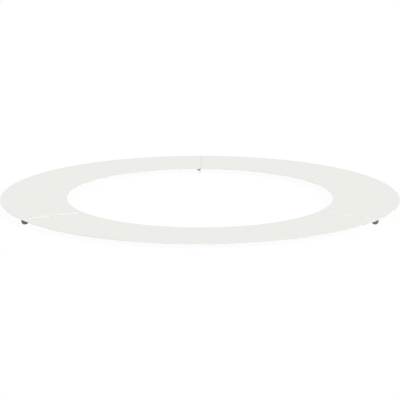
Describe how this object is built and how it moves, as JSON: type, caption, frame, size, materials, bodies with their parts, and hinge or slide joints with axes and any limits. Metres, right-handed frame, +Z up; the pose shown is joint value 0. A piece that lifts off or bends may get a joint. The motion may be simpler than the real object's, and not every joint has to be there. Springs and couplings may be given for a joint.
{
  "type": "steel tree surround",
  "caption": "Flat steel ring in sectors that lies round the foot of a tree, with folded ends that bolt together below it and rounded tabs to stand on.",
  "frame": {"origin": "centre of the ring on the ground that its tabs stand on", "axes": "+Z up along the ring's axis, +Y to the rear joint, +X to the right"},
  "size_m": [1.8, 1.7998, 0.024],
  "materials": {
    "painted_sheet": "satin off-white powder coat",
    "zinc_fastener": "bright zinc plate",
    "zinc_washer": "bright zinc plate"
  },
  "bodies": {
    "root": {"left_sector": "painted_sheet", "front_sector": "painted_sheet", "right_sector": "painted_sheet", "rear_outer_bolt": "zinc_fastener", "rear_outer_washer": "zinc_washer", "rear_outer_nut": "zinc_fastener", "rear_inner_bolt": "zinc_fastener", "rear_inner_washer": "zinc_washer", "rear_inner_nut": "zinc_fastener", "front_left_outer_bolt": "zinc_fastener", "front_left_outer_washer": "zinc_washer", "front_left_outer_nut": "zinc_fastener", "front_left_inner_bolt": "zinc_fastener", "front_left_inner_washer": "zinc_washer", "front_left_inner_nut": "zinc_fastener", "front_right_outer_bolt": "zinc_fastener", "front_right_outer_washer": "zinc_washer", "front_right_outer_nut": "zinc_fastener", "front_right_inner_bolt": "zinc_fastener", "front_right_inner_washer": "zinc_washer", "front_right_inner_nut": "zinc_fastener"}
  },
  "joints": []
}
